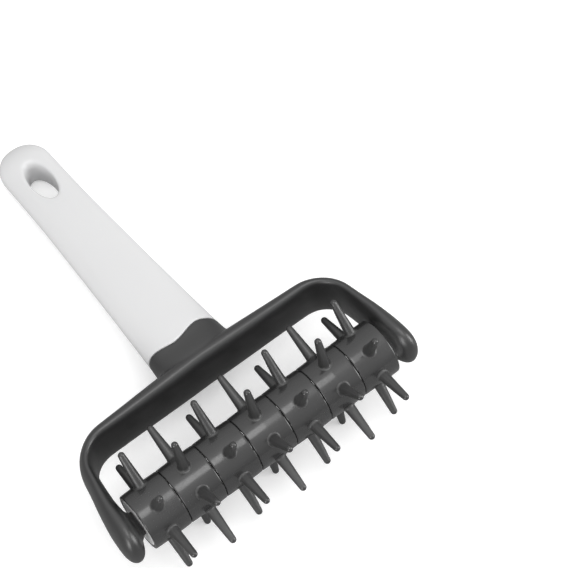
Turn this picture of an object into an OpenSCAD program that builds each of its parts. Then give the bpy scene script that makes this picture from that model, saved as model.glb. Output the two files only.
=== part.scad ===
// Hand dough docker: a pin roller that runs on the pivot bosses of a forked yoke, with a moulded grip.
// Millimetres, +Z up, lying at rest on two rows of pins and the end of the grip. X is along the roller.

/* [Roller] */
// Distance from one ring to the next
ring_pitch = 16.05; // [15:0.05:19]
// Seam left open between two rings
ring_seam = 0.12; // [0.05:0.01:0.3]
// Outer diameter of a ring
ring_d = 23.2; // [22.4:0.1:26]
// Rounding of a ring's outer edges
ring_edge = 0.35; // [0.1:0.05:0.6]
// Pins round one ring
pins_per_ring = 6; // [5:1:7]
// Reach of a pin, from the roller's axis to its tip
pin_reach = 26.4; // [22:0.1:28]
// Diameter of a pin at the ring's surface
pin_base_d = 4.3; // [3.4:0.1:5]
// Diameter of a pin's round tip
pin_tip_d = 2.7; // [2:0.1:3.4]
// Radius of the fillet at the foot of a pin
pin_fillet = 0.9; // [0.4:0.1:1.2]

/* [Core and bushes] */
// Outer diameter of the core tube
core_d = 19.4; // [18:0.1:19.8]
// Wall of the core tube
core_wall = 1.8; // [1.2:0.1:2.4]
// Distance of the bushes' faces inside the end rings
end_recess = 0.2; // [0.1:0.1:3]
// Thickness of a bush's flange
bush_flange = 1.6; // [1:0.1:2.5]
// Length of a bush's plug inside the core
bush_plug = 11; // [8:0.5:14]
// Width of the key rib along the core
key_w = 2; // [1.5:0.1:3]
// Height of the key rib
key_h = 0.9; // [0.6:0.1:1]
// Radial clearance of the pieces that are assembled once and stay put
fit_clear = 0.04; // [0.02:0.01:0.08]
// Radial clearance of the bushes on the pivot bosses
run_clear = 0.08; // [0.05:0.01:0.1]

/* [Yoke] */
// Diameter of the pivot bosses
boss_d = 9.8; // [9:0.1:12]
// Radius of the fillet where a boss leaves its foot
hub_fillet = 1.1; // [0.5:0.1:2]
// Chamfer at the free end of a boss
boss_chamfer = 0.8; // [0.3:0.1:1.2]
// Gap between the roller's end and the foot of an arm
end_play = 1.3; // [0.8:0.1:3]
// Height of the crossbar's centre above the roller's axis, along the grip
bar_rise = 37.3; // [35:0.1:42]
// Bow of the crossbar, from its ends to its middle
bar_bow = 1.5; // [0:0.1:3]
// Lean of the arms, from crossbar to foot
arm_splay = 5.3; // [2:0.1:7]
// Inward turn of the arms near the feet
toe_in = 1.3; // [0:0.1:2]
// Radius of the yoke's corners along its centre line
corner_r = 14.4; // [9:0.1:16]
// Thickness of the crossbar at its middle
bar_t = 9.9; // [8:0.1:12]
// Thickness of the crossbar where a corner starts
bar_end_t = 7.5; // [5:0.1:9]
// Thickness of the yoke half way round a corner
corner_t = 6; // [5:0.1:8]
// Thickness of an arm just below its corner
arm_t = 5.8; // [5:0.1:8]
// Thickness of an arm half way down
arm_mid_t = 7.1; // [5:0.1:9]
// Thickness of a foot
foot_t = 9.3; // [7.5:0.1:11]
// Depth of the crossbar at its middle, square to the yoke's plane
bar_depth = 21.8; // [19:0.1:25]
// Depth of the crossbar towards its corners
bar_end_depth = 20.5; // [16:0.1:24]
// Shift of the crossbar's crests towards the roller
crest_shift = 0.8; // [0:0.1:1.4]
// Depth of a foot
foot_depth = 21.1; // [16:0.1:25]
// Distance from the roller's axis to the end of a foot
foot_reach = 11.4; // [10:0.1:14]

/* [Grip] */
// Distance of the seam between yoke and grip from the roller's axis
seam_rise = 49.3; // [46:0.1:56]
// Height of the wave in the seam
seam_wave = 1.3; // [0:0.1:1.6]
// Length of one wave of the seam
seam_turn = 23.2; // [20:0.2:32]
// Place across the grip where the seam rises fastest
seam_shift = 2.4; // [0:0.1:6]
// Width of the grip at the seam
grip_w1 = 31.2; // [26:0.1:36]
// Width of the grip half way along
grip_w2 = 25.6; // [22:0.1:32]
// Width of the grip's waist near its end
grip_w3 = 23.2; // [20:0.1:28]
// Width of the grip at its round end
grip_w4 = 22.8; // [20:0.1:28]
// Thickness of the grip at the seam
grip_t1 = 18.3; // [14:0.1:20]
// Thickness of the grip at its round end
grip_t2 = 13.8; // [10:0.1:16]
// Length of the grip's round end
grip_cap = 12; // [9:0.1:16]
// Distance from the roller's axis to the end of the grip
grip_end = 172.2; // [150:0.5:190]
// Widening of the collar from the seam to the crossbar
collar_flare = 1.1; // [0:0.1:2]
// Fillet where the collar's sides meet the crossbar
collar_fillet = 1.8; // [0.8:0.1:4]
// Depth of the tang's socket in the grip
tang_len = 38; // [24:1:50]
// Width of the tang
tang_w = 16; // [10:0.5:19]
// Thickness of the tang
tang_t = 7; // [4:0.5:9]
// Width of the hang hole's throat
hole_w = 8.8; // [6:0.2:12]
// Length of the hang hole's throat
hole_len = 18.8; // [14:0.2:22]
// Distance of the hang hole's centre from the end of the grip
hole_from_end = 24.7; // [22:0.1:34]
// Widening of the hang hole's mouths at its two ends
hole_lip = 3; // [1:0.1:4]
// Widening of the hang hole's mouths at its sides
hole_side_lip = 1.2; // [0.5:0.1:3]

/* [Hidden] */
eps = 0.01;
round_fn = 64;
sec_n = 28;
ring_count = 7;

// Exponents of the sections: a bar with a crest and flatter faces, and a rounded grip
crest_e = 1.9;
face_e = 2.3;
grip_e = 2.4;
foot_e = 2.55;

roller_len = ring_count * ring_pitch;
roller_half = roller_len / 2;
ring_r = ring_d / 2;
pin_step = 360 / pins_per_ring;
tip_r = pin_tip_d / 2;
tip_at = pin_reach - tip_r;
bore_r = core_d / 2 + fit_clear;
face_x = roller_half - end_recess;
boss_r = boss_d / 2;
foot_x = roller_half + end_play + foot_t / 2;
hub_face = roller_half + end_play;

// The part lies on two neighbouring rows of pins, half a pin step each side of straight down
lie_turn = pin_step / 4;
axle_z = tip_at * cos(lie_turn) + tip_r;

// The grip's end rests on the same surface, which sets how far the yoke and grip slope down
end_c = grip_end - grip_cap;
function droop(a, k) = k == 0 ? a : droop(asin((axle_z - norm([grip_cap * sin(a),
    grip_t2 / 2 * cos(a)])) / end_c), k - 1);
slope = droop(6, 8);

// The origin is under the middle of the part's box
y_low = -(tip_at * cos(lie_turn) + tip_r);
y_high = end_c * cos(slope) + norm([grip_cap * cos(slope), grip_t2 / 2 * sin(slope)]);
axle_y = -(y_low + y_high) / 2;

// Smooth step from 0 to 1
function ease(u) = let (v = min(1, max(0, u))) v * v * (3 - 2 * v);

// Smooth curve through rows of [place, value] that doesn't overshoot them
function gap(rows, i) = rows[i + 1][0] - rows[i][0];
function rate(rows, i) = (rows[i + 1][1] - rows[i][1]) / gap(rows, i);
function edge_lean(a, b, p, q) = let (d = a + (a - b) * p / (p + q)) d * a <= 0 ? 0 : d;
function lean(rows, i) = let (n = len(rows) - 1)
    i == 0 ? edge_lean(rate(rows, 0), rate(rows, 1), gap(rows, 0), gap(rows, 1))
    : i == n ? edge_lean(rate(rows, n - 1), rate(rows, n - 2), gap(rows, n - 1), gap(rows, n - 2))
    : let (a = rate(rows, i - 1), b = rate(rows, i)) a * b <= 0 ? 0 : 2 * a * b / (a + b);
function part_of(rows, i, s) = let (w = gap(rows, i), u = (s - rows[i][0]) / w)
    rows[i][1] * (1 + 2 * u) * pow(1 - u, 2) + rows[i + 1][1] * u * u * (3 - 2 * u)
    + w * (lean(rows, i) * u * pow(1 - u, 2) + lean(rows, i + 1) * u * u * (u - 1));
function along(rows, s) = let (n = len(rows) - 1, c = min(rows[n][0], max(rows[0][0], s)))
    part_of(rows, max([for (k = [0 : n - 1]) if (c >= rows[k][0]) k]), c);

// Yoke centre line, from the middle of the crossbar to a foot, as points [x, along the grip]
toe_from = 0.45;
toe_run = 0.75;
function toe(u) = toe_in * ease((u - toe_from) / toe_run);
foot_at = [foot_x + toe(1), 0];
bar_end = [foot_at[0] - arm_splay, bar_rise - bar_bow];
bar_mid = [0, bar_rise];
bar_dir = (bar_end - bar_mid) / norm(bar_end - bar_mid);
arm_dir = (foot_at - bar_end) / norm(foot_at - bar_end);
turn = acos(bar_dir * arm_dir);
cut_back = corner_r * tan(turn / 2);
corner_in = bar_end - bar_dir * cut_back;
corner_c = corner_in + corner_r * [bar_dir[1], -bar_dir[0]];
bar_run = norm(corner_in - bar_mid);
arc_run = corner_r * turn * PI / 180;
arm_run = norm(foot_at - bar_end) - cut_back;
arm_from = bar_run + arc_run;
yoke_run = arm_from + arm_run;
bar_tilt = atan2(bar_dir[1], bar_dir[0]);

// Point of the centre line at a distance s from the crossbar's middle
function arc_way(s) = bar_tilt - turn * (s - bar_run) / arc_run;
function spot(s) =
    s <= bar_run ? bar_mid + bar_dir * s
    : s <= arm_from ? corner_c + corner_r * [-sin(arc_way(s)), cos(arc_way(s))]
    : foot_at + arm_dir * (s - yoke_run) - toe((s - arm_from) / arm_run) * [-arm_dir[1], arm_dir[0]];

// Direction of the centre line there, in degrees
function way(s) = s == 0 ? 0 : let (v = spot(s + 0.3) - spot(s - 0.3)) atan2(v[1], v[0]);

// Thickness and depth of the yoke along its centre line, before the rounding of the feet
t_rows = [[-bar_run, bar_end_t], [0, bar_t], [bar_run, bar_end_t], [bar_run + arc_run / 2, corner_t],
    [arm_from, arm_t], [arm_from + arm_run / 2, arm_mid_t], [yoke_run, foot_t],
    [yoke_run + foot_reach, foot_t]];
d_rows = [[-bar_run, bar_end_depth], [0, bar_depth], [bar_run * 0.8, bar_end_depth], [yoke_run, foot_depth],
    [yoke_run + foot_reach, foot_depth]];

// One closed outline of c points of a rounded section, half sizes a and b, with exponents e and f
function oval(a, b, e, f, c = sec_n) = [for (i = [0 : c - 1]) let (t = 360 * i / c)
    [a * sign(cos(t)) * pow(abs(cos(t)), 2 / e), b * sign(sin(t)) * pow(abs(sin(t)), 2 / f)]];

// How far a point at u, a share of the half depth, moves towards the roller at s. It fades out down the arms
function crest_move(u, s) = crest_shift * pow(abs(u), 4) * (1 - ease((s - bar_run) / (yoke_run - bar_run)));

// Section of the yoke at s, on side m of the middle, shrunk to k at the rounded foot
function yoke_ring(s, m, k) = let (p = spot(s), w = way(s), d = along(d_rows, s) / 2)
    [for (q = oval(along(t_rows, s) / 2 * k, d * k, crest_e, face_e)) let (r = q[0] - crest_move(q[1] / d, s))
        [m * (p[0] - sin(w) * r), p[1] + cos(w) * r, q[1]]];

// Width and thickness of the grip at a distance h from the roller's axis. Below the seam they are the
// collar's, which widens towards the crossbar and rises to its crest
grip_run = end_c - seam_rise;
w_rows = [[0, grip_w1], [0.5, grip_w2], [0.8, grip_w3], [1, grip_w4]];
function down(h) = (seam_rise - seam_wave - h) / (seam_rise - seam_wave - bar_rise);
function grip_w(h) = h >= seam_rise ? along(w_rows, (h - seam_rise) / grip_run)
    : grip_w1 + 2 * collar_flare * (seam_rise - h) / (seam_rise - bar_rise);
function grip_t(h) = h >= seam_rise - seam_wave
    ? grip_t1 + (grip_t2 - grip_t1) * ease((h - seam_rise) / grip_run)
    : grip_t1 + (bar_depth * 0.97 - grip_t1) * ease(down(h));

// Height of the crossbar's back at a distance n from the yoke's plane, and the fillet that starts above it
function bar_back(n) = spot(grip_w1 / 2)[1] + along(t_rows, grip_w1 / 2) / 2
    * pow(max(0, 1 - pow(abs(n) / (bar_depth / 2), face_e)), 1 / crest_e)
    - crest_move(min(1, abs(n) / (bar_depth / 2)), 0);
function flare(h, n) = let (r = collar_fillet, f = min(r, bar_back(n) + r - h))
    f <= 0 ? 0 : r - sqrt(r * r - f * f);
function grip_ring(h) = [for (q = oval(grip_w(h) / 2, grip_t(h) / 2, grip_e, grip_e))
    [q[0] + flare(h, q[1]) * q[0] / grip_w(h) * 2, h, q[1]]];

// Surface through a row of sections that all have the same number of points
module skin(rings) {
    n = len(rings);
    c = len(rings[0]);
    faces = concat(
        [for (i = [0 : n - 2]) for (j = [0 : c - 1]) let (k = (j + 1) % c)
            [i * c + j, (i + 1) * c + k, (i + 1) * c + j]],
        [for (i = [0 : n - 2]) for (j = [0 : c - 1]) let (k = (j + 1) % c)
            [i * c + j, i * c + k, (i + 1) * c + k]],
        [[for (j = [c - 1 : -1 : 0]) j]],
        [[for (j = [0 : c - 1]) (n - 1) * c + j]]);
    polyhedron(points = [for (r = rings) for (p = r) p], faces = faces, convexity = 8);
}

// Moves a child from the roller's own axis to its place at rest
module at_axle() translate([0, axle_y, axle_z]) children();

// Moves a child drawn in the yoke's plane, with the grip along +Y, to its slope at rest
module at_slope() at_axle() rotate([-slope, 0, 0]) children();

// Cylinder along X from x1 to x2
module rod(r, x1, x2) translate([x1, 0, 0]) rotate([0, 90, 0]) cylinder(r = r, h = x2 - x1, $fn = round_fn);

// Area of the yoke's plane on the roller's side of the wavy seam
module seam_side(gap) {
    w = grip_w1;
    polygon(concat([[-w, 0]], [for (i = [0 : 64]) let (x = -w + 2 * w * i / 64)
        [x, seam_rise - gap + seam_wave * sin(360 * (x - seam_shift) / seam_turn)]], [[w, 0]]));
}

// The grip's outer form, from inside the crossbar to its round end
module grip_form() {
    low = 14;
    stops = 22;
    cap = 9;
    skin(concat(
        [for (i = [0 : low - 1]) grip_ring(bar_rise + (seam_rise - bar_rise) * i / low)],
        [for (i = [0 : stops]) grip_ring(seam_rise + grip_run * i / stops)],
        [for (i = [1 : cap]) let (a = 88 * i / cap)
            [for (q = oval(grip_w4 / 2 * cos(a), grip_t2 / 2 * cos(a), grip_e, grip_e))
                [q[0], end_c + grip_cap * sin(a), q[1]]]]));
}

// Yoke bar, arms and feet as one smooth skin
module yoke_form() {
    bar_n = 10;
    arc_n = 9;
    arm_n = 8;
    cap_n = 8;
    half = concat([for (i = [0 : bar_n - 1]) [bar_run * i / bar_n, 1]],
        [for (i = [0 : arc_n - 1]) [bar_run + arc_run * i / arc_n, 1]],
        [for (i = [0 : arm_n]) [arm_from + arm_run * i / arm_n, 1]],
        [for (i = [1 : cap_n]) let (v = sin(87 * i / cap_n))
            [yoke_run + foot_reach * v, pow(1 - pow(v, foot_e), 1 / foot_e)]]);
    last = len(half) - 1;
    skin(concat([for (i = [last : -1 : 1]) yoke_ring(half[i][0], 1, half[i][1])],
        [for (i = [0 : last]) yoke_ring(half[i][0], -1, half[i][1])]));
}

// The hang hole, an oval that widens like a bell to both faces, drawn at its place in the grip
module hang_hole() {
    low_end = grip_end - hole_from_end - hole_len / 2 - hole_lip;
    top = grip_t(low_end) / 2 + 0.8;
    translate([0, grip_end - hole_from_end, 0]) skin([for (a = [90 : -15 : -90]) let (k = 1 - cos(a))
        [for (q = oval(hole_w / 2 + hole_side_lip * k, hole_len / 2 + hole_lip * k, 2, 2, 48))
            [q[0], q[1], top * sin(a)]]]);
}

// Tang of the yoke inside the grip, grown by a clearance
module tang_form(g) {
    translate([-tang_w / 2 - g, seam_rise - 6, -tang_t / 2 - g])
        cube([tang_w + 2 * g, tang_len + 6 + g, tang_t + 2 * g]);
}

// Pivot boss with its chamfered end and the fillet to its foot, along X on the right side
module pivot() translate([face_x - bush_plug, 0, 0]) rotate([0, 90, 0]) rotate_extrude($fn = round_fn)
    polygon(concat([[0, 0], [boss_r - boss_chamfer, 0], [boss_r, boss_chamfer]],
        [for (a = [0 : 15 : 90]) [boss_r + hub_fillet - hub_fillet * cos(a),
            hub_face - face_x + bush_plug - hub_fillet + hub_fillet * sin(a)]],
        [[boss_r + hub_fillet, foot_x - face_x + bush_plug], [0, foot_x - face_x + bush_plug]]));

module yoke() color([0.29, 0.29, 0.29]) at_slope() union() {
    yoke_form();
    intersection() {
        grip_form();
        translate([0, 0, -grip_t1]) linear_extrude(2 * grip_t1) seam_side(0.03);
    }
    tang_form(0);
    for (m = [-1, 1]) scale([m, 1, 1]) pivot();
}

module handle() color([0.92, 0.92, 0.92]) at_slope() difference() {
    grip_form();
    translate([0, 0, -grip_t1]) linear_extrude(2 * grip_t1) seam_side(0);
    tang_form(fit_clear);
    hang_hole();
}

// One tapered pin, standing on the ring along +Z. Its fillet starts where the ring's surface is at its side
module pin() {
    out = pin_base_d / 2 + pin_fillet;
    side = sqrt(ring_r * ring_r - out * out);
    rotate_extrude($fn = 32) polygon(concat([[0, side - 0.6], [out, side - 0.6]],
        [for (a = [90 : -15 : 0]) [out - pin_fillet * cos(a), side + pin_fillet - pin_fillet * sin(a)]],
        [for (a = [0 : 15 : 90]) [tip_r * cos(a), tip_at + tip_r * sin(a)]]));
}

// Key rib, or the keyway when grown by a clearance, along X on the upper side
module key(g, x1, x2) translate([x1, -key_w / 2 - g, core_d / 2 - 1])
    cube([x2 - x1, key_w + 2 * g, key_h + 1 + g]);

module pin_ring(i) {
    x1 = -roller_half + (i - 1) * ring_pitch + ring_seam / 2;
    x2 = x1 + ring_pitch - ring_seam;
    turned = lie_turn + (i % 2 == 0 ? pin_step / 2 : 0);
    color([0.31, 0.31, 0.31]) at_axle() difference() {
        union() {
            translate([x1, 0, 0]) rotate([0, 90, 0]) rotate_extrude($fn = round_fn)
                polygon(concat([[bore_r, 0]],
                    [for (a = [0 : 30 : 90]) [ring_r - ring_edge + ring_edge * sin(a),
                        ring_edge - ring_edge * cos(a)]],
                    [for (a = [90 : -30 : 0]) [ring_r - ring_edge + ring_edge * sin(a),
                        x2 - x1 - ring_edge + ring_edge * cos(a)]],
                    [[bore_r, x2 - x1]]));
            for (k = [0 : pins_per_ring - 1])
                translate([(x1 + x2) / 2, 0, 0]) rotate([turned + k * pin_step, 0, 0]) pin();
        }
        key(fit_clear, x1 - 1, x2 + 1);
    }
}

module roller_core() color([0.93, 0.93, 0.93]) at_axle() difference() {
    union() {
        rod(core_d / 2, -face_x + bush_flange, face_x - bush_flange);
        key(0, -face_x + bush_flange, face_x - bush_flange);
    }
    rod(core_d / 2 - core_wall, -roller_half, roller_half);
}

module end_bush(m) color([0.93, 0.93, 0.93]) at_axle() scale([m, 1, 1]) difference() {
    union() {
        rod(core_d / 2, face_x - bush_flange, face_x);
        rod(core_d / 2 - core_wall - fit_clear, face_x - bush_plug, face_x - bush_flange + eps);
    }
    rod(boss_r + run_clear, face_x - bush_plug - 1, face_x + 1);
}

yoke();
handle();
roller_core();
end_bush(-1);  // end_bush_left
end_bush(1);  // end_bush_right
pin_ring(1);  // pin_ring_1
pin_ring(2);  // pin_ring_2
pin_ring(3);  // pin_ring_3
pin_ring(4);  // pin_ring_4
pin_ring(5);  // pin_ring_5
pin_ring(6);  // pin_ring_6
pin_ring(7);  // pin_ring_7
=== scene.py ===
# %% [markdown]
# # A hand dough docker, dressed in Blender
# The tool is a roller of seven pin rings that turns between the arms of a dark plastic yoke. A white
# grip is pushed onto the yoke. Its solids were made in CAD, and this script gives them their looks:
# finer surfaces where the solids are coarse, moulded plastic finishes, a camera and soft light.

# %% Load the solids
import math
import bpy
from mathutils import Matrix, Vector
from mathutils.bvhtree import BVHTree


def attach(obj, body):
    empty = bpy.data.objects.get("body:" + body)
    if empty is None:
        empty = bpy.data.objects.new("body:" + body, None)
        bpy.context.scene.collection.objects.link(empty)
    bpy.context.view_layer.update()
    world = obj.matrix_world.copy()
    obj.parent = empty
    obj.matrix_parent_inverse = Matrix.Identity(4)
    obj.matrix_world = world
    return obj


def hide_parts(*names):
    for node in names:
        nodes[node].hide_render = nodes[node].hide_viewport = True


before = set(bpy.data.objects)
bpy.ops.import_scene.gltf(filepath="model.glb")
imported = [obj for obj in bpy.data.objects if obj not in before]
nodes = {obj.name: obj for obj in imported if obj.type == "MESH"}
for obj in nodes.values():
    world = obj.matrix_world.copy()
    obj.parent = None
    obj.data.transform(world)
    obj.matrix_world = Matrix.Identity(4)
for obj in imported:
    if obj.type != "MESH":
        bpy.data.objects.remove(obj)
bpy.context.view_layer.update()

# %% [markdown]
# ## Camera
# The picture looks down on the tool from the front left, steeply, with a long lens, so its far end
# hardly shrinks. A camera can be aimed by a Track To constraint. Here its three axes are written out,
# because they came from fitting the roller's pins, the yoke and the grip, and nothing then rounds them.

# %% Aim the camera
camera_place = Vector((-0.13616, -0.306027, 0.653744))
camera_axes = Matrix((
    (0.78967, 0.55848, -0.25402),
    (-0.61204, 0.68813, -0.38972),
    (-0.04286, 0.46322, 0.88521)))
camera_data = bpy.data.cameras.new("picture_camera")
camera_data.sensor_width = 36
camera_data.lens = 117.71
camera = bpy.data.objects.new("picture_camera", camera_data)
bpy.context.scene.collection.objects.link(camera)
camera.matrix_world = Matrix.Translation(camera_place) @ camera_axes.to_4x4()
bpy.context.scene.camera = camera
print("camera height above the table:", round(camera_place.z, 3), "m")

# %% [markdown]
# ## Table and light
# A product picture on white needs a pale surface that runs out of view. The highlights tell where the
# lamps were: the bright band on the rings puts one straight above, the long streak on the right foot and
# the pins' bright sides put a large one at the front right, and a smaller one stands at the front left.
# The room is darker towards the horizon, which keeps the outlines of the dark plastic crisp.

# %% Lay the table and hang the lamps
bpy.ops.object.select_all(action="DESELECT")
bpy.ops.mesh.primitive_plane_add(size=6, location=(0, 0, 0))
table = bpy.context.object
table.name = "table"


def hang_lamp(name, place, aim, width, depth, glow):
    """A soft rectangular lamp that faces a point. A glow of 1 is as bright as white paper."""
    data = bpy.data.lights.new(name, "AREA")
    data.shape = "RECTANGLE"
    data.size, data.size_y = width, depth
    data.energy = glow * math.pi * width * depth
    lamp = bpy.data.objects.new(name, data)
    bpy.context.scene.collection.objects.link(lamp)
    lamp.location = place
    lamp.rotation_euler = (Vector(aim) - Vector(place)).to_track_quat("-Z", "Y").to_euler()
    return lamp


tool_middle = (0, -0.04, 0.02)
hang_lamp("top_lamp", (0.055, -0.16, 1.0), (0.055, -0.16, 0), 0.39, 0.38, 2.6)
hang_lamp("right_lamp", (0.78, -0.59, 0.32), tool_middle, 0.55, 0.7, 4.2)
hang_lamp("left_lamp", (-0.85, -0.55, 0.27), tool_middle, 0.36, 0.66, 4.6)


def room(name, rows):
    """A world that changes with the height above the horizon, in rows of the height's sine and the glow."""
    world = bpy.data.worlds.new(name)
    world.use_nodes = True
    tree = world.node_tree
    way = tree.nodes.new("ShaderNodeTexCoord")
    split = tree.nodes.new("ShaderNodeSeparateXYZ")
    ramp = tree.nodes.new("ShaderNodeValToRGB")
    tree.links.new(way.outputs["Generated"], split.inputs[0])
    tree.links.new(split.outputs["Z"], ramp.inputs[0])
    tree.links.new(ramp.outputs["Color"], tree.nodes["Background"].inputs["Color"])
    while len(ramp.color_ramp.elements) < len(rows):
        ramp.color_ramp.elements.new(0.5)
    for stop, (height, glow) in zip(ramp.color_ramp.elements, rows):
        stop.position, stop.color = height, (glow, glow, glow, 1)
    return world


bpy.context.scene.world = room("studio", [(0.0, 0.36), (0.38, 0.7), (0.8, 0.95), (0.92, 1.2), (1.0, 1.4)])
bpy.context.scene.view_settings.view_transform = "Standard"
print("lamps:", [lamp.name for lamp in bpy.data.lights])

# %% [markdown]
# ## Drawing a body out
# Yoke, grip and hang hole are all long rounded bodies whose thickness changes on the way. One way to
# make them is a stack of sections: a circle primitive gets the section's outline, and each further
# section is one extrude and one scale. The circle's points are first moved a little, so that a face can
# be flatter and a crest sharper than on a plain oval. Sizes are in millimetres, as on the solids.

# %% A helper that draws a section out
MM = 0.001


def all_off():
    """Leaves nothing selected, so that an operator only meets the new piece."""
    bpy.ops.object.select_all(action="DESELECT")


def draw_out(name, stations, points=48, bulge=(2, 2)):
    """A closed body along X. A station is a place and its two half sizes, bulge how full the sides are."""
    all_off()
    bpy.ops.mesh.primitive_circle_add(vertices=points, radius=1, fill_type="NOTHING", location=(0, 0, 0))
    body = bpy.context.object
    body.name = body.data.name = name
    x, a, b = [v * MM for v in stations[0]]
    for vertex in body.data.vertices:
        c, s = vertex.co.x, vertex.co.y
        wide = math.copysign(abs(c) ** (2 / bulge[0]), c)
        deep = math.copysign(abs(s) ** (2 / bulge[1]), s)
        vertex.co = (x, wide * a, deep * b)
    bpy.ops.object.mode_set(mode="EDIT")
    bpy.ops.mesh.select_all(action="SELECT")
    for (x0, a0, b0), (x1, a1, b1) in zip(stations, stations[1:]):
        bpy.ops.mesh.extrude_region_move(TRANSFORM_OT_translate={"value": ((x1 - x0) * MM, 0, 0)})
        bpy.ops.transform.resize(value=(1, a1 / a0, b1 / b0), center_override=(x1 * MM, 0, 0))
    bpy.ops.mesh.select_all(action="SELECT")
    bpy.ops.mesh.fill_holes(sides=0)
    bpy.ops.mesh.select_all(action="SELECT")
    bpy.ops.mesh.normals_make_consistent(inside=False)
    bpy.ops.object.mode_set(mode="OBJECT")
    return body


def finish_modifiers(body):
    """Applies every modifier of a body, from the first to the last."""
    all_off()
    body.select_set(True)
    bpy.context.view_layer.objects.active = body
    for modifier in list(body.modifiers):
        bpy.ops.object.modifier_apply(modifier=modifier.name)
    return body


def settle(body):
    """Puts a body's place, turn and scale into its mesh."""
    all_off()
    body.select_set(True)
    bpy.context.view_layer.objects.active = body
    bpy.ops.object.transform_apply(location=True, rotation=True, scale=True)
    return body


print("helper ready: draw_out")

# %% [markdown]
# ## Smooth change along a body
# A moulding's thickness is known at a few places only. Straight lines between them would leave kinks,
# and a plain spline can overshoot. This curve takes the harmonic mean of the neighbouring slopes, so it
# is smooth and never thicker or thinner than its rows say.

# %% Interpolate between rows


def ease(u):
    """Smooth step from 0 to 1."""
    v = min(1, max(0, u))
    return v * v * (3 - 2 * v)


def end_slope(a, b, p, q):
    """Slope at the first or last row."""
    d = a + (a - b) * p / (p + q)
    return 0 if d * a <= 0 else d


def along(rows, s):
    """Value at s on a smooth curve through rows of (place, value)."""
    n = len(rows) - 1
    gaps = [rows[i + 1][0] - rows[i][0] for i in range(n)]
    rates = [(rows[i + 1][1] - rows[i][1]) / gaps[i] for i in range(n)]

    def slope(i):
        if i == 0:
            return end_slope(rates[0], rates[1], gaps[0], gaps[1])
        if i == n:
            return end_slope(rates[-1], rates[-2], gaps[-1], gaps[-2])
        a, b = rates[i - 1], rates[i]
        return 0 if a * b <= 0 else 2 * a * b / (a + b)

    c = min(rows[n][0], max(rows[0][0], s))
    i = max(k for k in range(n) if c >= rows[k][0])
    u = (c - rows[i][0]) / gaps[i]
    return (rows[i][1] * (1 + 2 * u) * (1 - u) ** 2 + rows[i + 1][1] * u * u * (3 - 2 * u)
            + gaps[i] * (slope(i) * u * (1 - u) ** 2 + slope(i + 1) * u * u * (u - 1)))


print("half way from 2 to 4:", along([(0, 2), (1, 4), (2, 5)], 0.5))

# %% [markdown]
# ## The bow of the yoke
# The yoke is one bar that is bent twice: crossbar, corner, arm, rounded foot, the same on both sides.
# Here is its centre line in the yoke's own plane, where Y runs along the grip and the roller's axis is
# at zero. A straight run, an arc and an arm that turns in a little at the foot follow the photograph.

# %% Trace the centre line
axle_y, axle_z, slope_down = -72.7608, 25.5464, 6.65057
bar_rise, bar_bow, arm_splay, corner_r, foot_reach = 37.3, 1.5, 5.3, 14.4, 11.4
foot_x, toe_in, toe_from, toe_length = 62.125, 1.3, 0.45, 0.75
bar_mid = Vector((0, bar_rise))
foot_at = Vector((foot_x + toe_in * ease((1 - toe_from) / toe_length), 0))
bar_end = Vector((foot_at.x - arm_splay, bar_rise - bar_bow))
bar_dir, arm_dir = (bar_end - bar_mid).normalized(), (foot_at - bar_end).normalized()
turn = bar_dir.angle(arm_dir)
cut_back = corner_r * math.tan(turn / 2)
corner_in = bar_end - bar_dir * cut_back
corner_c = corner_in + corner_r * Vector((bar_dir.y, -bar_dir.x))
bar_run, arc_run = (corner_in - bar_mid).length, corner_r * turn
arm_from = bar_run + arc_run
arm_run = (foot_at - bar_end).length - cut_back
yoke_run = arm_from + arm_run
half_run = yoke_run + foot_reach


def spot(s):
    """Point of the centre line at a distance s from the crossbar's middle, negative to the left."""
    d = abs(s)
    if d <= bar_run:
        p = bar_mid + bar_dir * d
    elif d <= arm_from:
        w = math.atan2(bar_dir.y, bar_dir.x) - turn * (d - bar_run) / arc_run
        p = corner_c + corner_r * Vector((-math.sin(w), math.cos(w)))
    else:
        inward = toe_in * ease(((d - arm_from) / arm_run - toe_from) / toe_length)
        p = foot_at + arm_dir * (d - yoke_run) - inward * Vector((-arm_dir.y, arm_dir.x))
    return Vector((math.copysign(p.x, s) if s else 0, p.y))


print("bow from foot to foot:", round(2 * half_run, 1), "mm")

# %% [markdown]
# ## The bent bar
# A bent bar could be pushed into shape section by section. It is easier to model it straight and let a
# Curve modifier bend it: the bar's X then runs along the curve, and its sections stay square to it.
# The rounded feet are the last sections, which close like the end of an egg.

# %% Model the bar straight, then bend it
thickness_rows = [(-bar_run, 7.5), (0, 9.9), (bar_run, 7.5), (bar_run + arc_run / 2, 6), (arm_from, 5.8),
                  (arm_from + arm_run / 2, 7.1), (yoke_run, 9.3), (half_run, 9.3)]
depth_rows = [(-bar_run, 20.5), (0, 21.8), (bar_run * 0.8, 20.5), (yoke_run, 21.1), (half_run, 21.1)]
foot_bulge, bar_bulge, crest_shift = 2.55, (1.9, 2.3), 0.8


def crest_move(u, s):
    """How far a point at u, a share of the half depth, moves to the roller. It fades out down the arms."""
    return crest_shift * abs(u) ** 4 * (1 - ease((abs(s) - bar_run) / (yoke_run - bar_run)))


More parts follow.
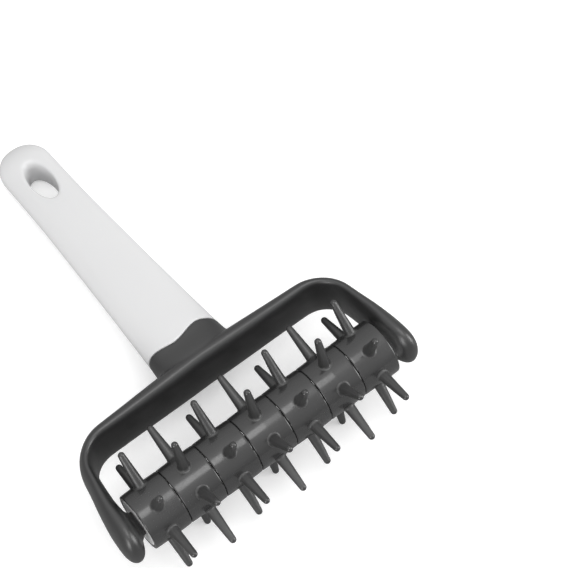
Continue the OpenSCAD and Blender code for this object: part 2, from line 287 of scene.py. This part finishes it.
bar_sections, foot_sections, almost_square = 72, 16, 89
steps = [(yoke_run * i / bar_sections, 1) for i in range(bar_sections + 1)]
for i in range(1, foot_sections + 1):
    out = math.sin(math.radians(almost_square * i / foot_sections))
    steps.append((yoke_run + foot_reach * out, (1 - out ** foot_bulge) ** (1 / foot_bulge)))
steps = [(-s, k) for s, k in steps[:0:-1]] + steps
bar_stations = []
for s, k in steps:
    thick, deep = along(thickness_rows, abs(s)), along(depth_rows, abs(s))
    bar_stations.append((s + half_run, thick / 2 * k, deep / 2 * k))
bar = draw_out("bar", bar_stations, bulge=bar_bulge)
for vertex in bar.data.vertices:
    s = vertex.co.x / MM - half_run
    vertex.co.y -= crest_move(vertex.co.z / MM / (along(depth_rows, abs(s)) / 2), s) * MM

bow = bpy.data.curves.new("bow", "CURVE")
bow.dimensions = "2D"
line = bow.splines.new("POLY")
bow_steps = 480
way_points = [spot(-half_run + 2 * half_run * i / bow_steps) for i in range(bow_steps + 1)]
line.points.add(len(way_points) - 1)
for point, p in zip(line.points, way_points):
    point.co = (p.x * MM, p.y * MM, 0, 1)
bow_line = bpy.data.objects.new("bow_line", bow)
bpy.context.scene.collection.objects.link(bow_line)
bend = bar.modifiers.new("Bend", "CURVE")
bend.object, bend.deform_axis = bow_line, "POS_X"
round_off = bar.modifiers.new("Round", "SUBSURF")
round_off.levels = round_off.render_levels = 1
finish_modifiers(bar)
bpy.data.objects.remove(bow_line)
print("bent bar:", [round(v / MM, 1) for v in bar.dimensions], "mm")

# %% [markdown]
# ## The grip's outer form
# Grip and collar share one form. Below the seam it widens and deepens until it melts into the crossbar,
# above it the grip narrows to a waist, and its end is half an egg. The fillet at the crossbar can't come
# from scaling alone, so the lowest points are moved out by the height of a quarter circle.

# %% Draw out the grip
seam_rise, seam_wave, seam_turn, seam_shift = 49.3, 1.3, 23.2, 2.4
grip_at, grip_w = (0, 0.5, 0.8, 1), (31.2, 25.6, 23.2, 22.8)
grip_t, grip_cap, grip_end = (18.3, 13.8), 12, 172.2
collar_flare, collar_fillet, bar_depth, collar_share = 1.1, 1.8, 21.8, 0.97
collar_sections, grip_sections = 24, 44
cap_from = grip_end - grip_cap
grip_run = cap_from - seam_rise


def grip_width(h):
    """Width of the grip or collar at a distance h from the roller's axis."""
    if h >= seam_rise:
        return along(list(zip(grip_at, grip_w)), (h - seam_rise) / grip_run)
    return grip_w[0] + 2 * collar_flare * (seam_rise - h) / (seam_rise - bar_rise)


def grip_depth(h):
    """Thickness of the grip or collar there."""
    foot = seam_rise - seam_wave
    if h >= foot:
        return grip_t[0] + (grip_t[1] - grip_t[0]) * ease((h - seam_rise) / grip_run)
    return grip_t[0] + (bar_depth * collar_share - grip_t[0]) * ease((foot - h) / (foot - bar_rise))


def fillet(h, n):
    """How far the collar's side stands out at height h, at a distance n from the yoke's plane."""
    u = min(1, abs(n) / (bar_depth / 2))
    side = grip_w[0] / 2
    bulge = (1 - u ** bar_bulge[1]) ** (1 / bar_bulge[0])
    back = spot(side).y + along(thickness_rows, side) / 2 * bulge - crest_move(u, 0)
    f = min(collar_fillet, back + collar_fillet - h)
    return 0 if f <= 0 else collar_fillet - math.sqrt(collar_fillet ** 2 - f * f)


def grip_form(name):
    """The whole outer form of collar and grip, along +Y."""
    heights = [bar_rise + (seam_rise - bar_rise) * i / collar_sections for i in range(collar_sections)]
    heights += [seam_rise + grip_run * i / grip_sections for i in range(grip_sections + 1)]
    stations = [(h, grip_width(h) / 2, grip_depth(h) / 2) for h in heights]
    for i in range(1, foot_sections + 1):
        a = math.radians(almost_square * i / foot_sections)
        place, k = cap_from + grip_cap * math.sin(a), math.cos(a)
        stations.append((place, grip_w[3] / 2 * k, grip_t[1] / 2 * k))
    form = draw_out(name, stations, bulge=(2.4, 2.4))
    form.rotation_euler = (0, 0, math.pi / 2)
    settle(form)
    for vertex in form.data.vertices:
        x, h, n = [v / MM for v in vertex.co]
        if h < seam_rise:
            vertex.co.x += fillet(h, n) * x / grip_width(h) * 2 * MM
    round_off = form.modifiers.new("Round", "SUBSURF")
    round_off.levels = round_off.render_levels = 1
    return finish_modifiers(form)


print("grip width at the seam and the waist:", grip_width(seam_rise), grip_width(cap_from))

# %% [markdown]
# ## The wavy seam
# Yoke and grip meet along a wave. A block with one wavy side stands for everything on the roller's side
# of the seam: the collar is what lies inside it, and the grip is what lies outside. The block is a grid
# whose far edge is moved onto the wave, thickened by a Solidify modifier.

# %% Make the seam block and cut with it
block_w, block_low, block_deep = 60, 10, 40


def seam_block(gap):
    """Everything on the roller's side of the seam, pulled back by a gap."""
    all_off()
    bpy.ops.mesh.primitive_grid_add(x_subdivisions=120, y_subdivisions=1, size=1, location=(0, 0, 0))
    block = bpy.context.object
    for vertex in block.data.vertices:
        x = vertex.co.x * block_w
        wave = seam_rise - gap + seam_wave * math.sin(math.radians(360 * (x - seam_shift) / seam_turn))
        vertex.co = (x * MM, (wave if vertex.co.y > 0 else block_low) * MM, 0)
    deep = block.modifiers.new("Deep", "SOLIDIFY")
    deep.thickness, deep.offset = block_deep * MM, 0
    return finish_modifiers(block)


def carve(body, tool, operation):
    """Keeps what a body shares with a tool, or cuts the tool out of it, and removes the tool."""
    cut = body.modifiers.new("Carve", "BOOLEAN")
    cut.operation, cut.solver, cut.object = operation, "EXACT", tool
    finish_modifiers(body)
    bpy.data.objects.remove(tool)
    return body


def block_of(low, high, edge=0.8):
    """A box with softened edges between two corners, for the tang, its socket and the keyway."""
    all_off()
    bpy.ops.mesh.primitive_cube_add(size=1, location=[(a + b) / 2 * MM for a, b in zip(low, high)])
    box = bpy.context.object
    box.scale = [(b - a) * MM for a, b in zip(low, high)]
    settle(box)
    soft = box.modifiers.new("Soft", "BEVEL")
    soft.width, soft.segments = edge * MM, 3
    return finish_modifiers(box)


def tang_block(grow, sink):
    """The tang, or its socket when it grows by a play. It starts a length below the seam."""
    wide, thick, reach = 8 + grow, 3.5 + grow, 38 + grow
    return block_of((-wide, seam_rise - sink, -thick), (wide, seam_rise + reach, thick))


def sizes_of(body):
    """A body's three sizes in millimetres, to print."""
    return [round(v / MM, 1) for v in body.dimensions]


seam_gap = 0.06
collar = carve(grip_form("collar"), seam_block(seam_gap), "INTERSECT")
tang = tang_block(grow=0, sink=6)
print("collar:", sizes_of(collar), "mm, tang:", sizes_of(tang))

# %% [markdown]
# ## Pivot bosses
# A short boss on the inside of each foot carries the roller. It is drawn out like the rest: a chamfered
# end, a plain length, and a quarter circle that spreads it into the foot. It is 0.08 mm slimmer in radius
# than the solid's boss, so that the remeshed skin stays clear of the bush that turns on it.

# %% Draw the bosses
boss_r, boss_from, boss_chamfer, hub_fillet, hub_face = 4.82, 45, 0.8, 1.1, 57.475
quarter_turn = [math.radians(15 * i) for i in range(7)]


def boss(side):
    """The pivot boss of one side, along X."""
    rows = [(boss_from, boss_r - boss_chamfer), (boss_from + boss_chamfer, boss_r)]
    for a in quarter_turn:
        out = hub_fillet * (1 - math.cos(a))
        rows.append((hub_face - hub_fillet + hub_fillet * math.sin(a), boss_r + out))
    rows.append((foot_x, boss_r + hub_fillet))
    return draw_out("boss", [(side * x, r, r) for x, r in rows], points=96)


bosses = [boss(-1), boss(1)]
print("bosses reach in to", [round(max(abs(v.co.x) for v in b.data.vertices) / MM, 1) for b in bosses], "mm")

# %% [markdown]
# ## One skin for the yoke
# Bar, collar, tang and bosses are one moulding on the real tool. A boolean union would leave sharp
# inner corners. A voxel Remesh takes the outer surface of all of them at once, and a few rounds of
# smoothing then leave the small radius that every moulded edge has, also along the seam. Voxels of
# 0.41 mm keep the yoke under 200,000 triangles.

# %% Remesh the yoke


def one_skin(name, parts, voxel, rounds):
    """Joins closed bodies to one smooth skin."""
    all_off()
    for part in parts:
        part.select_set(True)
    bpy.context.view_layer.objects.active = parts[0]
    if len(parts) > 1:
        bpy.ops.object.join()
    skin = bpy.context.object
    skin.name = skin.data.name = name
    cells = skin.modifiers.new("Cells", "REMESH")
    cells.mode, cells.voxel_size, cells.adaptivity = "VOXEL", voxel * MM, 0
    relax = skin.modifiers.new("Relax", "SMOOTH")
    relax.factor, relax.iterations = 0.5, rounds
    return finish_modifiers(skin)


def lay_down(skin, node, body="frame", x=0, tilt=slope_down):
    """Puts a skin where its solid lies at rest, and lets it stand for that solid."""
    place = Matrix.Translation((x * MM, axle_y * MM, axle_z * MM))
    skin.matrix_world = place @ Matrix.Rotation(math.radians(-tilt), 4, "X")
    settle(skin)
    bpy.ops.object.shade_smooth()
    skin.data.materials.clear()
    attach(skin, body)
    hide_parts(node)


def compare(piece, node, every=7):
    """Prints how far a piece's surface lies from its solid, in millimetres, at every few points."""
    solid = nodes[node].data
    tree = BVHTree.FromPolygons([v.co for v in solid.vertices], [p.vertices for p in solid.polygons])
    far = [tree.find_nearest(v.co)[3] / MM for v in list(piece.data.vertices)[::every]]
    triangles = sum(len(p.vertices) - 2 for p in piece.data.polygons)
    print(piece.name, "has", triangles, "triangles")
    print("off the solid by up to", round(max(far), 2), "mean", round(sum(far) / len(far), 3))


yoke_skin = one_skin("yoke_skin", [bar, collar, tang, *bosses], voxel=0.41, rounds=4)
lay_down(yoke_skin, "yoke")
compare(yoke_skin, "yoke")

# %% [markdown]
# ## Grip with its hang hole
# The hang hole is an oval that widens like a bell to both faces. Its cutter is drawn out from one face
# to the other: wide, narrow at the throat, wide again. The grip is then remeshed like the yoke, so the
# edge at the seam gets its soft radius. The hole's lip is softer still, most of all towards the grip's
# end, so a Smooth modifier with a vertex group works on it longer.

# %% Cut the hole and remesh the grip
hole_w, hole_len, hole_side_lip, hole_lip, hole_from_end = 8.8, 18.8, 1.2, 3, 24.7
hole_rise, hole_over = 0.3, 3


def hang_hole():
    """The hang hole's cutter, standing square to the grip."""
    hole_at = grip_end - hole_from_end
    top = grip_depth(hole_at) / 2 + hole_rise
    rows = []
    for i in range(-18, 19):
        a = math.radians(5 * i)
        k = 1 - math.cos(a)
        rows.append((top * math.sin(a), hole_w / 2 + hole_side_lip * k, hole_len / 2 + hole_lip * k))
    low, high = rows[0], rows[-1]
    rows = [(low[0] - hole_over, *low[1:])] + rows + [(high[0] + hole_over, *high[1:])]
    cutter = draw_out("hole", rows, points=96)
    x_to_z = Matrix(((0, 1, 0, 0), (0, 0, 1, 0), (1, 0, 0, 0), (0, 0, 0, 1)))
    cutter.matrix_world = Matrix.Translation((0, hole_at * MM, 0)) @ x_to_z
    return settle(cutter)


grip = carve(grip_form("grip"), seam_block(-seam_gap), "DIFFERENCE")
carve(grip, tang_block(grow=0.2, sink=7), "DIFFERENCE")
carve(grip, hang_hole(), "DIFFERENCE")
grip_skin = one_skin("grip_skin", [grip], voxel=0.38, rounds=4)


def lip_weight(x, h, n):
    """How much a point of the grip belongs to the hole's lip."""
    y = h - grip_end + hole_from_end
    ring = math.hypot(x / (hole_w / 2 + hole_side_lip), y / (hole_len / 2 + hole_lip))
    on_lip = ease((ring - 0.6) / 0.25) * ease((1.6 - ring) / 0.35)
    near_face = ease((abs(n) - 2.5) / 1.5)
    to_the_end = 0.25 + 0.75 * ease(y / 6 + 0.5)
    return on_lip * near_face * to_the_end


def soften(body, weight, rounds):
    """Smooths a body where a weight says so."""
    group = body.vertex_groups.new(name="soft")
    for vertex in body.data.vertices:
        share = weight(*[v / MM for v in vertex.co])
        if share > 0:
            group.add([vertex.index], share, "REPLACE")
    relax = body.modifiers.new("Soften", "SMOOTH")
    relax.factor, relax.iterations, relax.vertex_group = 0.5, rounds, "soft"
    finish_modifiers(body)


soften(grip_skin, lip_weight, rounds=60)
lay_down(grip_skin, "handle")
compare(grip_skin, "handle")

# %% [markdown]
# ## Pin rings
# Seven equal rings sit side by side. Their mould parts in the middle of a ring, where the pins stand, so
# each half tapers a little towards its seam, and the bright band changes halfway. The ring is drawn out
# along the roller, its pins are drawn out and turned into place, and one skin takes them all, which
# leaves the soft foot that a moulded pin has.

# %% Model the two turns of a ring
ring_pitch, ring_seam, ring_r, bore_r, ring_edge, ring_taper = 16.05, 0.12, 11.6, 9.76, 0.4, 1.3
key_side, key_low, key_top, past_ring = 1.04, 8.7, 10.64, 9
pin_base_r, tip_r, tip_at, pin_fillet, pin_root, tip_flat = 2.15, 1.35, 25.05, 0.9, 0.6, 0.05


def ring_body():
    """One ring without pins, round X, with its bore and keyway."""
    half = (ring_pitch - ring_seam) / 2
    low = ring_r - half * math.tan(math.radians(ring_taper))
    side = [(half - ring_edge + ring_edge * math.sin(a), low - ring_edge + ring_edge * math.cos(a))
            for a in quarter_turn]
    rows = [(-x, r) for x, r in side[::-1]] + [(0, ring_r)] + side
    body = draw_out("ring", [(x, r, r) for x, r in rows], points=128)
    bore = draw_out("bore", [(x, bore_r, bore_r) for x in (-past_ring, past_ring)], points=128)
    carve(body, bore, "DIFFERENCE")
    keyway = block_of((-past_ring, -key_side, key_low), (past_ring, key_side, key_top), edge=0.2)
    return carve(body, keyway, "DIFFERENCE")


def pin(turn):
    """A pin with its fillet and round tip, standing on the ring at a turn round X."""
    out = pin_base_r + pin_fillet
    foot = math.sqrt(ring_r ** 2 - out ** 2)
    rows = [(foot - pin_root, out)]
    rows += [(foot + pin_fillet * (1 - math.cos(a)), out - pin_fillet * math.sin(a)) for a in quarter_turn]
    rows += [(tip_at + tip_r * math.sin(a), tip_r * math.cos(a)) for a in quarter_turn[:-1]]
    rows.append((tip_at + tip_r, tip_flat))
    piece = draw_out("pin", [(x, r, r) for x, r in rows], points=40)
    upright = Matrix.Rotation(math.radians(-90), 4, "Y")
    piece.matrix_world = Matrix.Rotation(math.radians(turn), 4, "X") @ upright
    return settle(piece)


odd_turn, even_turn, pin_step = 15, 45, 60
ring_turns = {}
for turned in (odd_turn, even_turn):
    pins = [pin(turned + pin_step * k) for k in range(6)]
    ring_turns[turned] = one_skin("ring_skin", [ring_body(), *pins], voxel=0.3, rounds=3)
print("faces of a ring:", [len(skin.data.polygons) for skin in ring_turns.values()])

# %% [markdown]
# Every second ring was put on the other way round, which turns its pins half a step. So the seven rings
# are copies of the two skins, moved along the roller. Each point also keeps whether it is on a pin's foot or
# shank, because they get a more satin finish than the barrel and the polished round tips, and a lighter grey
# that is painted light: it stands in for the light that the upright pins catch.

# %% Set the rings on the roller


def turn_of(i):
    """The turn of a ring's first pin, by the ring's number from the left."""
    return even_turn if i % 2 == 0 else odd_turn


def middle_of(i):
    """Where a ring's middle is along the roller. The fourth of the seven is at zero."""
    return (i - 4) * ring_pitch


def on_pin(x, y, z, turned):
    """How much a point of a ring belongs to a pin's foot or shank, from its place off the ring's middle."""
    away = math.hypot(y, z)
    beside = (math.degrees(math.atan2(-y, z)) - turned + pin_step / 2) % pin_step - pin_step / 2
    off = math.hypot(x, away * math.sin(math.radians(beside)))
    return (1 - ease((off - pin_base_r - 0.25) / pin_fillet)) * (1 - ease((away - tip_at + 0.3) / 0.8))


ring_skins = []
for i in range(1, 8):
    source = ring_turns[turn_of(i)]
    ring = bpy.data.objects.new("ring_skin_" + str(i), source.data.copy())
    bpy.context.scene.collection.objects.link(ring)
    lay_down(ring, "pin_ring_" + str(i), "roller", x=middle_of(i), tilt=0)
    ring_skins.append(ring)
for source in ring_turns.values():
    bpy.data.objects.remove(source)
# The pins' share drives both their satin roughness and their lighter grey, which is painted light.
for i, ring in enumerate(ring_skins, 1):
    satin_and_painted_light_share = ring.data.attributes.new("pin", "FLOAT", "POINT")
    for vertex, share in zip(ring.data.vertices, satin_and_painted_light_share.data):
        x, y, z = [v / MM for v in vertex.co]
        share.value = on_pin(x - middle_of(i), y - axle_y, z - axle_z, turn_of(i))
compare(ring_skins[0], "pin_ring_1")
compare(ring_skins[1], "pin_ring_2")

# %% [markdown]
# ## A shared finish: moulded plastic
# Moulded plastic isn't quite even: it has a very fine grain from the mould and slow waves where it shrank.
# The four plastics and the table share the effect, so it is one group with named inputs.

# %% Build the moulding group
moulding = bpy.data.node_groups.new("Moulded surface", "ShaderNodeTree")
for socket in ("Grain size", "Wave size", "Roughness", "Roughness spread"):
    moulding.interface.new_socket(socket, in_out="INPUT", socket_type="NodeSocketFloat")
for socket in ("Roughness", "Height", "Tint"):
    moulding.interface.new_socket(socket, in_out="OUTPUT", socket_type="NodeSocketFloat")


def put(tree, kind, **values):
    """A node in a tree, with its plain settings."""
    node = tree.nodes.new(kind)
    for key, value in values.items():
        setattr(node, key, value)
    return node


def fill_moulding(tree):
    """Grain and waves on Object coordinates, mixed to a roughness, a height and a tint."""
    link = tree.links.new
    inlet, outlet = put(tree, "NodeGroupInput"), put(tree, "NodeGroupOutput")
    where = put(tree, "ShaderNodeTexCoord")
    grain, wave = put(tree, "ShaderNodeTexNoise"), put(tree, "ShaderNodeTexNoise")
    grain.inputs["Detail"].default_value = 2
    wave.inputs["Detail"].default_value = 3
    for texture, size in ((grain, "Grain size"), (wave, "Wave size")):
        link(where.outputs["Object"], texture.inputs["Vector"])
        link(inlet.outputs[size], texture.inputs["Scale"])
    both = put(tree, "ShaderNodeMath", operation="ADD")
    link(grain.outputs["Fac"], both.inputs[0])
    link(wave.outputs["Fac"], both.inputs[1])
    middle = put(tree, "ShaderNodeMath", operation="SUBTRACT")
    link(both.outputs[0], middle.inputs[0])
    middle.inputs[1].default_value = 1
    spread = put(tree, "ShaderNodeMath", operation="MULTIPLY_ADD")
    link(middle.outputs[0], spread.inputs[0])
    link(inlet.outputs["Roughness spread"], spread.inputs[1])
    link(inlet.outputs["Roughness"], spread.inputs[2])
    link(spread.outputs[0], outlet.inputs["Roughness"])
    link(both.outputs[0], outlet.inputs["Height"])
    link(wave.outputs["Fac"], outlet.inputs["Tint"])


fill_moulding(moulding)
print("moulding group:", len(moulding.nodes), "nodes")

# %% [markdown]
# ## The four plastics
# The yoke is nearly black with a satin gloss. The rings are a dark grey with more gloss, which isn't quite
# even, and their pins are more satin again and painted a lighter grey, which is painted light for the light
# they catch. The grip, the core and its bushes are white. Each takes the shared group with its own grain and
# gloss.

# %% Mix the plastics
colour_a, colour_b, colour_out = 6, 7, 2  # a Mix node's sockets for two colours and for their mix


def grey(value, blue=0.0):
    """A grey, a touch blue if asked for."""
    return value, value, value + blue, 1


def plastic(name, dark, light, gloss, grain, bump, ior=1.5):
    """A plastic between two near colours. Gloss is its roughness and spread, grain its two noise scales."""
    material = bpy.data.materials.new(name)
    material.use_nodes = True
    tree = material.node_tree
    shader = tree.nodes["Principled BSDF"]
    surface = put(tree, "ShaderNodeGroup", node_tree=moulding)
    surface.inputs["Roughness"].default_value, surface.inputs["Roughness spread"].default_value = gloss
    surface.inputs["Grain size"].default_value, surface.inputs["Wave size"].default_value = grain
    colour = put(tree, "ShaderNodeMix", data_type="RGBA")
    colour.inputs[colour_a].default_value = dark
    colour.inputs[colour_b].default_value = light
    relief = put(tree, "ShaderNodeBump")
    relief.inputs["Strength"].default_value = bump
    relief.inputs["Distance"].default_value = 0.0001
    tree.links.new(surface.outputs["Tint"], colour.inputs[0])
    tree.links.new(colour.outputs[colour_out], shader.inputs["Base Color"])
    tree.links.new(surface.outputs["Roughness"], shader.inputs["Roughness"])
    tree.links.new(surface.outputs["Height"], relief.inputs["Height"])
    tree.links.new(relief.outputs["Normal"], shader.inputs["Normal"])
    shader.inputs["IOR"].default_value = ior
    return material


cool = 0.0002
yoke_plastic = plastic(
    "Dark yoke plastic", grey(0.008, cool), grey(0.011, cool), (0.38, 0.06), (1500, 40), 0.03, 1.8)
ring_plastic = plastic(
    "Dark ring plastic", grey(0.022, cool), grey(0.028, cool), (0.19, 0.26), (1500, 70), 0.02, 1.68)
grip_plastic = plastic(
    "White grip plastic", grey(0.66, 0.004), grey(0.69, 0.004), (0.25, 0.06), (1200, 35), 0.06)
core_plastic = plastic("White core plastic", grey(0.9), grey(0.93), (0.32, 0.06), (1500, 60), 0.06)


def recolour(material, mask, colour):
    """Mixes a material's own colour with another where a mask says so."""
    tree = material.node_tree
    shader = tree.nodes["Principled BSDF"]
    mix = put(tree, "ShaderNodeMix", data_type="RGBA")
    tree.links.new(mask, mix.inputs[0])
    tree.links.new(shader.inputs["Base Color"].links[0].from_socket, mix.inputs[colour_a])
    mix.inputs[colour_b].default_value = colour
    tree.links.new(mix.outputs[colour_out], shader.inputs["Base Color"])


def satin_and_painted_light_pins(material, colour, extra):
    """Gives a plastic more roughness, and a lighter colour that is painted light, where the attribute of the
    pins says so.
    """
    tree = material.node_tree
    shader = tree.nodes["Principled BSDF"]
    where = put(tree, "ShaderNodeAttribute", attribute_name="pin")
    rougher = put(tree, "ShaderNodeMath", operation="MULTIPLY_ADD")
    tree.links.new(where.outputs["Fac"], rougher.inputs[0])
    rougher.inputs[1].default_value = extra
    tree.links.new(shader.inputs["Roughness"].links[0].from_socket, rougher.inputs[2])
    tree.links.new(rougher.outputs[0], shader.inputs["Roughness"])
    recolour(material, where.outputs["Fac"], colour)


# The pins' grey of 0.033 is painted light: it makes them lighter than the barrel, as the light they catch
# does.
satin_and_painted_light_pins(ring_plastic, grey(0.033), 0.2)
print("plastics:", [material.name for material in bpy.data.materials])

# %% [markdown]
# The table is only the stage, and not part of the tool. It glows a little towards the camera, like a lit
# table, which keeps its shadows faint. In mirrors it looks darker, as if dark card lay round the tool
# outside the picture, so the undersides of the dark plastic stay dark.

# %% Light the table
table_paper = plastic("Pale table", grey(0.89), grey(0.91), (0.7, 0.05), (800, 8), 0.02)


def light_table(material, colour, glow):
    """Gives a stage material its colour in mirrors and its glow towards the camera."""
    tree = material.node_tree
    shader = tree.nodes["Principled BSDF"]
    ray = put(tree, "ShaderNodeLightPath")
    recolour(material, ray.outputs["Is Glossy Ray"], colour)
    seen = put(tree, "ShaderNodeMath", operation="MULTIPLY")
    tree.links.new(ray.outputs["Is Camera Ray"], seen.inputs[0])
    seen.inputs[1].default_value = glow
    shader.inputs["Emission Color"].default_value = grey(1)
    tree.links.new(seen.outputs[0], shader.inputs["Emission Strength"])


mirror_grey, table_glow = 0.36, 0.28
light_table(table_paper, grey(mirror_grey), table_glow)
table.data.materials.append(table_paper)
print("table in mirrors:", mirror_grey, "glow:", table_glow)

# %% [markdown]
# Every piece gets one finish. The core and the bushes keep their CAD meshes, because their flat faces
# and round bores are fine enough. The nodes that a skin stands for get the finish of their skin.

# %% Put the finishes on


def finish_piece(piece, material):
    """Puts one material on a piece."""
    piece.data.materials.clear()
    piece.data.materials.append(material)


finish_piece(yoke_skin, yoke_plastic)
finish_piece(grip_skin, grip_plastic)
for ring in ring_skins:
    finish_piece(ring, ring_plastic)
for name, node in nodes.items():
    if name in ("yoke", "handle"):
        finish_piece(node, yoke_plastic if name == "yoke" else grip_plastic)
    else:
        finish_piece(node, ring_plastic if name.startswith("pin_ring") else core_plastic)
print("finished:", sorted(nodes))
